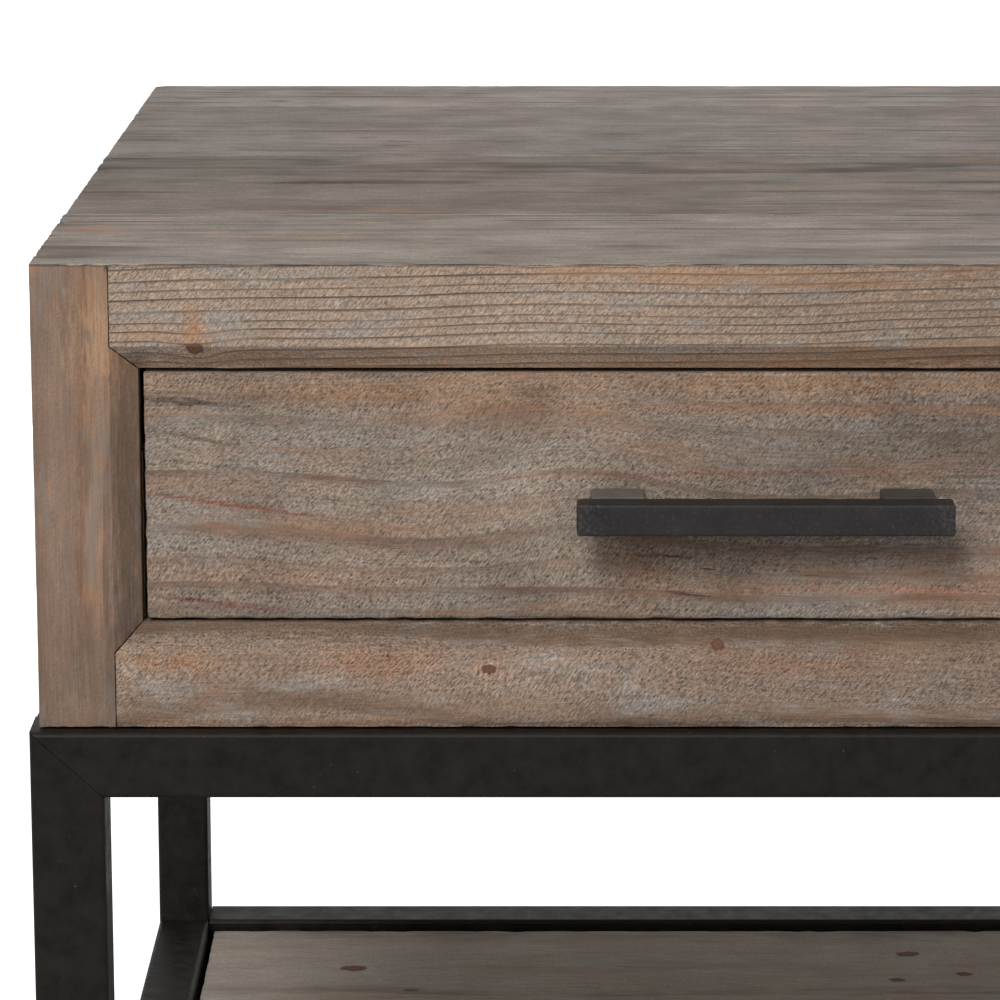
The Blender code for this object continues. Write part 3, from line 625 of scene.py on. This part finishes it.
# Boards that are plain cuboids: body, slot, cuts along X, Y and Z, and the way that the hidden face faces.
PLAIN = {
    "top_plank_1": ("table", "top_wood", (100, 96, 8), (0, 0, -1)),
    "top_plank_2": ("table", "top_wood", (100, 100, 8), (0, 0, -1)),
    "top_plank_3": ("table", "top_wood", (100, 100, 8), (0, 0, -1)),
    "top_plank_4": ("table", "top_wood", (100, 64, 8), (0, 0, -1)),
    "drawer_front": ("drawer", "drawer_wood", (100, 6, 100), (0, 1, 0)),
    "side_panel_left": ("table", "frame_wood", (6, 100, 80), (1, 0, 0)),
    "side_panel_right": ("table", "frame_wood", (6, 100, 80), (-1, 0, 0)),
    "back_panel": ("table", "inner_wood", (100, 4, 80), (0, -1, 0)),
    "shelf_plank_1": ("table", "shelf_wood", (90, 90, 6), (0, 0, -1)),
    "shelf_plank_2": ("table", "shelf_wood", (90, 90, 6), (0, 0, -1)),
    "shelf_plank_3": ("table", "shelf_wood", (90, 90, 6), (0, 0, -1)),
}

ARRIS = 1.1 * MM
SEAM_ROUND = 0.25 * MM  # where two boards meet
JOINT = 0.5 * MM  # how far a rail runs into the stiles
FLAT_BRUSHED = 0.25 * MM
FLAT_NICK = 1.6 * MM
FRAME_BRUSHED = 0.3 * MM
FRAME_NICK = 0.9 * MM


def plain_board(node):
    """One flat board: rounded arrises, fine cuts, brushed surface.

    The front plank of the top is copied from the CAD instead, because of its mitred edge.
    """
    body, slot, cuts, hidden = PLAIN[node]
    low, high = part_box(node)
    board = settle(BOARDS[node], low, high)
    mitred = node == "top_plank_1"
    piece = copied_node(node + "_board", node) if mitred else cuboid(node + "_board", low, high)
    bpy.ops.mesh.select_all(action="SELECT")
    bpy.ops.mesh.bevel(offset=SEAM_ROUND if mitred else ARRIS, segments=2, affect="EDGES")
    for axis, count in enumerate(cuts):
        slice_up(piece, axis, count)
    bpy.ops.object.mode_set(mode="OBJECT")
    wear_down(piece, board, low, high, FLAT_BRUSHED, FLAT_NICK, hidden)
    thin_out(piece, hidden)
    finish(piece, body, slot, weathered_pine("weathered pine, " + node, board), node)


def chamfered_board(node, cuts):
    """One board of the front frame, cut fine from the CAD shape with its chamfer and mitres.

    The cuts are pairs of an axis and the distance between its cuts.
    """
    low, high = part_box(node)
    board = settle(BOARDS[node], low, high)
    piece = copied_node(node + "_board", node)
    bpy.ops.mesh.select_all(action="SELECT")
    if "rail" in node:
        length = high.x - low.x
        stretch = (length + 2 * JOINT) / length
        bpy.ops.transform.resize(value=(stretch, 1, 1), center_override=(low + high) / 2)
    bpy.ops.mesh.bevel(offset=SEAM_ROUND, segments=2, affect="EDGES")
    for axis, step in cuts:
        count = int((high[axis] - low[axis]) / step)
        for cut in range(1, count):
            point = Vector((0, 0, 0))
            point[axis] = low[axis] + cut * (high[axis] - low[axis]) / count
            normal = [0, 0, 0]
            normal[axis] = 1
            bpy.ops.mesh.select_all(action="SELECT")
            bpy.ops.mesh.bisect(plane_co=point, plane_no=normal)
    bpy.ops.object.mode_set(mode="OBJECT")
    wear_down(piece, board, low, high, FRAME_BRUSHED, FRAME_NICK, (0, 1, 0))
    thin_out(piece, (0, 1, 0))
    finish(piece, "table", "frame_wood", weathered_pine("weathered pine, " + node, board), node)


# ---------------------------------------------------------------------------------------------
# Iron and steel pieces

def dent(piece, grit, depth):
    """Hammered or dressed metal: shallow dents of a given size, pressed in."""
    texture = bpy.data.textures.new(piece.name + " dents", "CLOUDS")
    texture.noise_scale = grit
    texture.noise_depth = 2
    modifier = piece.modifiers.new("dents", "DISPLACE")
    modifier.texture = texture
    modifier.texture_coords = "LOCAL"
    modifier.mid_level = 1.0
    modifier.strength = depth
    bpy.ops.object.modifier_apply(modifier="dents")


FORGED_ARRIS = 1.3 * MM


def forged_block(node, material):
    """One piece of the handle: a forged bar with soft arrises, dented and slightly uneven."""
    low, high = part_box(node)
    piece = cuboid(node + "_forged", low, high)
    bpy.ops.mesh.select_all(action="SELECT")
    bpy.ops.mesh.bevel(offset=FORGED_ARRIS, segments=4, profile=0.5, affect="EDGES")
    for axis, count in enumerate((60 if node == "handle_bar" else 14, 8, 8)):
        slice_up(piece, axis, count)
    bpy.ops.object.mode_set(mode="OBJECT")
    dent(piece, 6 * MM, 0.45 * MM)
    finish(piece, "drawer", "handle_iron", material, node)


# ---------------------------------------------------------------------------------------------
# Plain materials

def black_steel():
    """Mild steel tube under thin satin black lacquer: brown-black, faintly mottled, with rubbed specks."""
    made = new_material("satin black lacquered steel")
    tree = made.node_tree
    place = object_mm(tree)
    mottle = add(tree, NOISE, {"Vector": place, "Scale": 1 / 11, "Detail": 6.0, "Roughness": 0.7})
    mottle = add(tree, RANGE, {"Value": mottle, "From Min": 0.32, "From Max": 0.68})
    colour = mixed(tree, mottle, linear("#050403"), linear("#181310"))
    speck = add(tree, NOISE, {"Vector": place, "Scale": 1 / 2.2, "Detail": 1.0})
    speck = add(tree, RANGE, {"Value": speck, "From Min": 0.76, "From Max": 0.8, "To Max": 0.6})
    colour = mixed(tree, speck, colour, linear("#4b4641"))
    grain = add(tree, NOISE, {"Vector": place, "Scale": 1 / 1.1, "Detail": 2.0})
    rough = add(tree, RANGE, {"Value": mottle, "To Min": 0.34, "To Max": 0.58})
    normal = add(tree, "ShaderNodeBump", {"Height": grain, "Strength": 0.22, "Distance": 0.25 * MM})
    surface = add(tree, "ShaderNodeBsdfPrincipled", {
        "Base Color": colour, "Roughness": rough, "Normal": normal, "IOR": 1.5, "Specular IOR Level": 0.26,
        "Specular Tint": (1.0, 0.93, 0.86, 1)})
    add(tree, "ShaderNodeOutputMaterial", {"Surface": surface})
    return made


def forged_iron(name, dark, pale, worn_share):
    """Forged iron, blacked and rubbed: grey-black with fine scale that wears pale."""
    made = new_material(name)
    tree = made.node_tree
    place = object_mm(tree)
    cloud = add(tree, NOISE, {"Vector": place, "Scale": 1 / 14, "Detail": 4.0})
    colour = mixed(tree, cloud, linear(dark), linear(pale))
    scale = add(tree, NOISE, {"Vector": place, "Scale": 1 / 1.5, "Detail": 3.0, "Roughness": 0.7})
    # The bar's two ends are handled most: the blacking is worn there for about 8 mm.
    along = add(tree, "ShaderNodeSeparateXYZ", {0: place}, 0)
    along = add(tree, MATH, {0: along}, operation="ABSOLUTE")
    ends = add(tree, RANGE, {"Value": along, "From Min": 64.0, "From Max": 77.0, "To Max": 0.14})
    scale = add(tree, MATH, {0: scale, 1: ends}, operation="ADD")
    worn = add(tree, RANGE, {"Value": scale, "From Min": 0.56, "From Max": 0.72, "To Max": worn_share})
    colour = mixed(tree, worn, colour, linear("#5e5c56"))
    rough = add(tree, RANGE, {"Value": scale, "To Min": 0.4, "To Max": 0.7})
    normal = add(tree, "ShaderNodeBump", {"Height": scale, "Strength": 0.4, "Distance": 0.35 * MM})
    surface = add(tree, "ShaderNodeBsdfPrincipled", {
        "Base Color": colour, "Roughness": rough, "Normal": normal, "IOR": 1.5, "Specular IOR Level": 0.3})
    add(tree, "ShaderNodeOutputMaterial", {"Surface": surface})
    return made


def zinc_plate():
    """Zinc plated steel, cold rolled: bright blue-grey with fine rolling lines."""
    made = new_material("zinc plated steel")
    tree = made.node_tree
    place = add(tree, "ShaderNodeTexCoord", out="Object")
    rolled = add(tree, "ShaderNodeMapping", {"Vector": place, "Scale": (1500, 60, 1500)})
    lines = add(tree, NOISE, {"Vector": rolled, "Scale": 1.0, "Detail": 3.0})
    colour = mixed(tree, lines, linear("#9ea3a6"), linear("#c3c6c6"))
    rough = add(tree, RANGE, {"Value": lines, "To Min": 0.25, "To Max": 0.45})
    surface = add(tree, "ShaderNodeBsdfPrincipled", {
        "Base Color": colour, "Roughness": rough, "Metallic": 1.0})
    add(tree, "ShaderNodeOutputMaterial", {"Surface": surface})
    return made


def moulded_plastic():
    """Injection moulded polyethylene, black and matt, with a fine spark-eroded grain."""
    made = new_material("moulded black polyethylene")
    tree = made.node_tree
    place = add(tree, "ShaderNodeTexCoord", out="Object")
    grain = add(tree, NOISE, {"Vector": place, "Scale": 1600.0, "Detail": 2.0})
    colour = mixed(tree, grain, linear("#121212"), linear("#232323"))
    normal = add(tree, "ShaderNodeBump", {"Height": grain, "Strength": 0.3, "Distance": 0.1 * MM})
    rough = add(tree, RANGE, {"Value": grain, "To Min": 0.5, "To Max": 0.7})
    surface = add(tree, "ShaderNodeBsdfPrincipled", {
        "Base Color": colour, "Roughness": rough, "Normal": normal, "IOR": 1.5})
    add(tree, "ShaderNodeOutputMaterial", {"Surface": surface})
    return made


def recolour(material, *nodes):
    """Gives a material to CAD nodes that keep their own shape."""
    for name in nodes:
        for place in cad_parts[name].material_slots:
            place.material = material


# ---------------------------------------------------------------------------------------------
# Welds

BEAD_RADIUS = 1.6 * MM
BEAD_SHORTER = 4 * MM  # than the tube is high


def weld_places():
    """The middle of each bead: where the side rails of both levels meet the legs."""
    places = {}
    for level in ("top", "shelf"):
        for side, inner in (("left", 1), ("right", 0)):
            low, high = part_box(f"{level}_rail_{side}")
            for end, y in (("front", low.y), ("rear", high.y)):
                places[f"{level}_{side}_{end}"] = Vector(((low.x, high.x)[inner], y, (low.z + high.z) / 2))
    return places


def weld_bead(name, length):
    """One fillet weld: a rippled half round bead in the corner between two tubes, ground down a little."""
    clear_choice()
    bpy.ops.mesh.primitive_cylinder_add(vertices=12, radius=BEAD_RADIUS, depth=length, location=(0, 0, 0))
    piece = bpy.context.active_object
    piece.name = name
    piece.data.name = name
    bpy.ops.object.mode_set(mode="EDIT")
    slice_up(piece, 2, 34)
    bpy.ops.object.mode_set(mode="OBJECT")
    dent(piece, 1.4 * MM, 0.7 * MM)
    return piece


def weld_frame():
    """The same bead in all eight corners, a little shorter than the tube is high."""
    low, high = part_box("top_rail_left")
    first = weld_bead("weld", high.z - low.z - BEAD_SHORTER)
    for name, place in weld_places().items():
        piece = first.copy()
        piece.data = first.data.copy()
        piece.name = "weld_" + name
        piece.data.name = piece.name
        bpy.context.scene.collection.objects.link(piece)
        clear_choice()
        piece.select_set(True)
        bpy.context.view_layer.objects.active = piece
        bpy.ops.object.mode_set(mode="EDIT")
        bpy.ops.mesh.select_all(action="SELECT")
        bpy.ops.transform.translate(value=place)
        bpy.ops.object.mode_set(mode="OBJECT")
        finish(piece, "table", "black_steel", steel)
    bpy.data.objects.remove(first)


# ---------------------------------------------------------------------------------------------

place_camera()
studio()
for name in PLAIN:
    plain_board(name)
for name in ("case_rail_top", "case_rail_bottom"):
    chamfered_board(name, ((0, 4 * MM), (2, 0.6 * MM)))
for name in ("stile_left", "stile_right"):
    chamfered_board(name, ((2, 4 * MM), (0, 0.8 * MM)))

names = sorted(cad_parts)
steel = black_steel()
STEEL = ("leg_", "top_rail_", "shelf_rail_", "corner_", "shelf_cleat")
recolour(steel, *[n for n in names if n.startswith(STEEL)])
bar_iron = forged_iron("blacked forged iron", "#141112", "#282527", 0.24)
forged_block("handle_bar", bar_iron)
forged_block("handle_post_left", forged_iron("well rubbed forged iron", "#45433e", "#6f6c66", 0.9))
forged_block("handle_post_right", forged_iron("rubbed forged iron", "#2b2926", "#4a4844", 0.7))
weld_frame()
SLIDES = ("slide_outer", "slide_middle", "slide_inner")
recolour(zinc_plate(), *[n for n in names if n.startswith(SLIDES) or "screw" in n])
recolour(moulded_plastic(), *[n for n in names if n.startswith("foot_glide")])

INNER = dict(
    COMMON, early="#c2a782", late="#a4815b", warm="#bb9a70", grey="#c3af91", fuzz=0.05, streaks=0.06,
    cracks=0.9)
for name, turn in (("drawer_side_left", GRAIN_Y_FACE_SIDE), ("drawer_side_right", GRAIN_Y_FACE_SIDE),
                   ("drawer_back", GRAIN_X_FACE_FRONT), ("drawer_bottom", GRAIN_X_FACE_UP),
                   ("bottom_panel", GRAIN_X_FACE_UP), ("slide_spacer_left", GRAIN_Y_FACE_SIDE),
                   ("slide_spacer_right", GRAIN_Y_FACE_SIDE)):
    board = settle(dict(INNER, turn=turn), *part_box(name))
    recolour(weathered_pine("planed pine, " + name, board), name)
